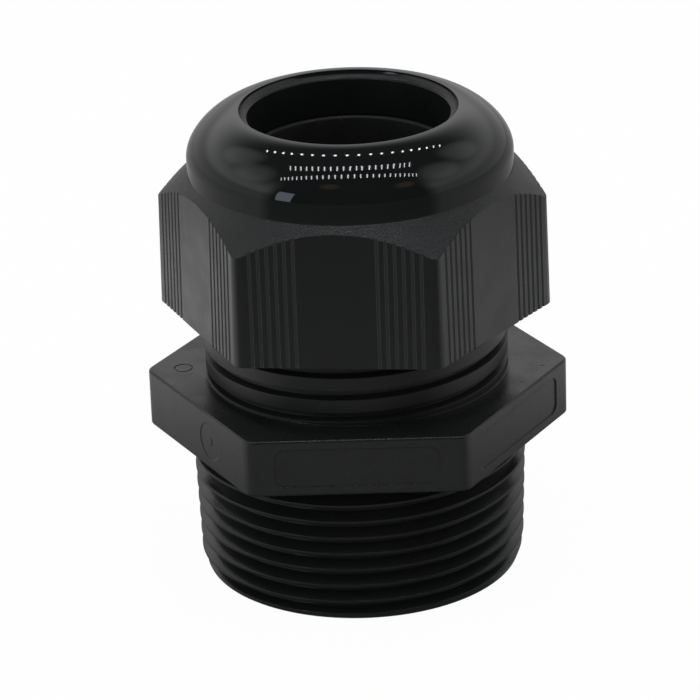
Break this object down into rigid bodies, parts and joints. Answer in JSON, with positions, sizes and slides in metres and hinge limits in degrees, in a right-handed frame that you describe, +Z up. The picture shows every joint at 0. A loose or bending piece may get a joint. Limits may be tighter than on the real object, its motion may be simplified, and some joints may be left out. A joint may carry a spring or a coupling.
{
  "type": "cable gland",
  "caption": "Moulded cable gland with a hexagon flange, a taper pipe thread, and a dome nut that squeezes a rubber sleeve onto the cable.",
  "frame": {"origin": "centre of the pipe thread's end face, which the gland stands on", "axes": "+Z up the bore towards the dome nut, -Y normal to a flange face, +X through a flange corner"},
  "size_m": [0.0526, 0.046, 0.0601],
  "materials": {
    "body_polyamide": "satin",
    "nut_polyamide": "gloss",
    "seal_rubber": "matte"
  },
  "bodies": {
    "body": {"gland_body": "body_polyamide"},
    "seal": {"sealing_insert": "seal_rubber"},
    "nut": {"dome_nut": "nut_polyamide"},
    "finger_01": {"clamping_finger_01": "body_polyamide"},
    "finger_02": {"clamping_finger_02": "body_polyamide"},
    "finger_03": {"clamping_finger_03": "body_polyamide"},
    "finger_04": {"clamping_finger_04": "body_polyamide"},
    "finger_05": {"clamping_finger_05": "body_polyamide"},
    "finger_06": {"clamping_finger_06": "body_polyamide"},
    "finger_07": {"clamping_finger_07": "body_polyamide"},
    "finger_08": {"clamping_finger_08": "body_polyamide"},
    "finger_09": {"clamping_finger_09": "body_polyamide"},
    "finger_10": {"clamping_finger_10": "body_polyamide"},
    "finger_11": {"clamping_finger_11": "body_polyamide"},
    "finger_12": {"clamping_finger_12": "body_polyamide"},
    "finger_13": {"clamping_finger_13": "body_polyamide"},
    "finger_14": {"clamping_finger_14": "body_polyamide"},
    "finger_15": {"clamping_finger_15": "body_polyamide"},
    "finger_16": {"clamping_finger_16": "body_polyamide"},
    "finger_17": {"clamping_finger_17": "body_polyamide"},
    "finger_18": {"clamping_finger_18": "body_polyamide"}
  },
  "joints": [
    {"name": "nut_travel", "type": "slide", "parent": "body", "child": "seal", "axis": [0, 0, 1], "range_m": [-0.00483, 0.00387]},
    {"name": "nut_turn", "type": "hinge", "parent": "seal", "child": "nut", "pos_m": [0, 0, 0.042], "axis": [0, 0, 1], "range_deg": [-600, 480], "deforming": ["sealing_insert"]},
    {"name": "finger_01_lean", "type": "hinge", "parent": "body", "child": "finger_01", "pos_m": [0.0166, 0, 0.04], "axis": [0, 1, 0], "range_deg": [-10, 8]},
    {"name": "finger_02_lean", "type": "hinge", "parent": "body", "child": "finger_02", "pos_m": [0.0156, 0.00568, 0.04], "axis": [-0.342, 0.9397, 0], "range_deg": [-10, 8]},
    {"name": "finger_03_lean", "type": "hinge", "parent": "body", "child": "finger_03", "pos_m": [0.01272, 0.01067, 0.04], "axis": [-0.6428, 0.766, 0], "range_deg": [-10, 8]},
    {"name": "finger_04_lean", "type": "hinge", "parent": "body", "child": "finger_04", "pos_m": [0.0083, 0.01438, 0.04], "axis": [-0.866, 0.5, 0], "range_deg": [-10, 8]},
    {"name": "finger_05_lean", "type": "hinge", "parent": "body", "child": "finger_05", "pos_m": [0.00288, 0.01635, 0.04], "axis": [-0.9848, 0.1736, 0], "range_deg": [-10, 8]},
    {"name": "finger_06_lean", "type": "hinge", "parent": "body", "child": "finger_06", "pos_m": [-0.00288, 0.01635, 0.04], "axis": [-0.9848, -0.1736, 0], "range_deg": [-10, 8]},
    {"name": "finger_07_lean", "type": "hinge", "parent": "body", "child": "finger_07", "pos_m": [-0.0083, 0.01438, 0.04], "axis": [-0.866, -0.5, 0], "range_deg": [-10, 8]},
    {"name": "finger_08_lean", "type": "hinge", "parent": "body", "child": "finger_08", "pos_m": [-0.01272, 0.01067, 0.04], "axis": [-0.6428, -0.766, 0], "range_deg": [-10, 8]},
    {"name": "finger_09_lean", "type": "hinge", "parent": "body", "child": "finger_09", "pos_m": [-0.0156, 0.00568, 0.04], "axis": [-0.342, -0.9397, 0], "range_deg": [-10, 8]},
    {"name": "finger_10_lean", "type": "hinge", "parent": "body", "child": "finger_10", "pos_m": [-0.0166, 0, 0.04], "axis": [0, -1, 0], "range_deg": [-10, 8]},
    {"name": "finger_11_lean", "type": "hinge", "parent": "body", "child": "finger_11", "pos_m": [-0.0156, -0.00568, 0.04], "axis": [0.342, -0.9397, 0], "range_deg": [-10, 8]},
    {"name": "finger_12_lean", "type": "hinge", "parent": "body", "child": "finger_12", "pos_m": [-0.01272, -0.01067, 0.04], "axis": [0.6428, -0.766, 0], "range_deg": [-10, 8]},
    {"name": "finger_13_lean", "type": "hinge", "parent": "body", "child": "finger_13", "pos_m": [-0.0083, -0.01438, 0.04], "axis": [0.866, -0.5, 0], "range_deg": [-10, 8]},
    {"name": "finger_14_lean", "type": "hinge", "parent": "body", "child": "finger_14", "pos_m": [-0.00288, -0.01635, 0.04], "axis": [0.9848, -0.1736, 0], "range_deg": [-10, 8]},
    {"name": "finger_15_lean", "type": "hinge", "parent": "body", "child": "finger_15", "pos_m": [0.00288, -0.01635, 0.04], "axis": [0.9848, 0.1736, 0], "range_deg": [-10, 8]},
    {"name": "finger_16_lean", "type": "hinge", "parent": "body", "child": "finger_16", "pos_m": [0.0083, -0.01438, 0.04], "axis": [0.866, 0.5, 0], "range_deg": [-10, 8]},
    {"name": "finger_17_lean", "type": "hinge", "parent": "body", "child": "finger_17", "pos_m": [0.01272, -0.01067, 0.04], "axis": [0.6428, 0.766, 0], "range_deg": [-10, 8]},
    {"name": "finger_18_lean", "type": "hinge", "parent": "body", "child": "finger_18", "pos_m": [0.0156, -0.00568, 0.04], "axis": [0.342, 0.9397, 0], "range_deg": [-10, 8]}
  ],
  "couplings": [
    {"joint": "nut_travel", "follows": "nut_turn", "m_per_rad": 0.00046155},
    {"joint": "finger_01_lean", "follows": "nut_turn", "ratio": 0.016667},
    {"joint": "finger_02_lean", "follows": "nut_turn", "ratio": 0.016667},
    {"joint": "finger_03_lean", "follows": "nut_turn", "ratio": 0.016667},
    {"joint": "finger_04_lean", "follows": "nut_turn", "ratio": 0.016667},
    {"joint": "finger_05_lean", "follows": "nut_turn", "ratio": 0.016667},
    {"joint": "finger_06_lean", "follows": "nut_turn", "ratio": 0.016667},
    {"joint": "finger_07_lean", "follows": "nut_turn", "ratio": 0.016667},
    {"joint": "finger_08_lean", "follows": "nut_turn", "ratio": 0.016667},
    {"joint": "finger_09_lean", "follows": "nut_turn", "ratio": 0.016667},
    {"joint": "finger_10_lean", "follows": "nut_turn", "ratio": 0.016667},
    {"joint": "finger_11_lean", "follows": "nut_turn", "ratio": 0.016667},
    {"joint": "finger_12_lean", "follows": "nut_turn", "ratio": 0.016667},
    {"joint": "finger_13_lean", "follows": "nut_turn", "ratio": 0.016667},
    {"joint": "finger_14_lean", "follows": "nut_turn", "ratio": 0.016667},
    {"joint": "finger_15_lean", "follows": "nut_turn", "ratio": 0.016667},
    {"joint": "finger_16_lean", "follows": "nut_turn", "ratio": 0.016667},
    {"joint": "finger_17_lean", "follows": "nut_turn", "ratio": 0.016667},
    {"joint": "finger_18_lean", "follows": "nut_turn", "ratio": 0.016667}
  ]
}
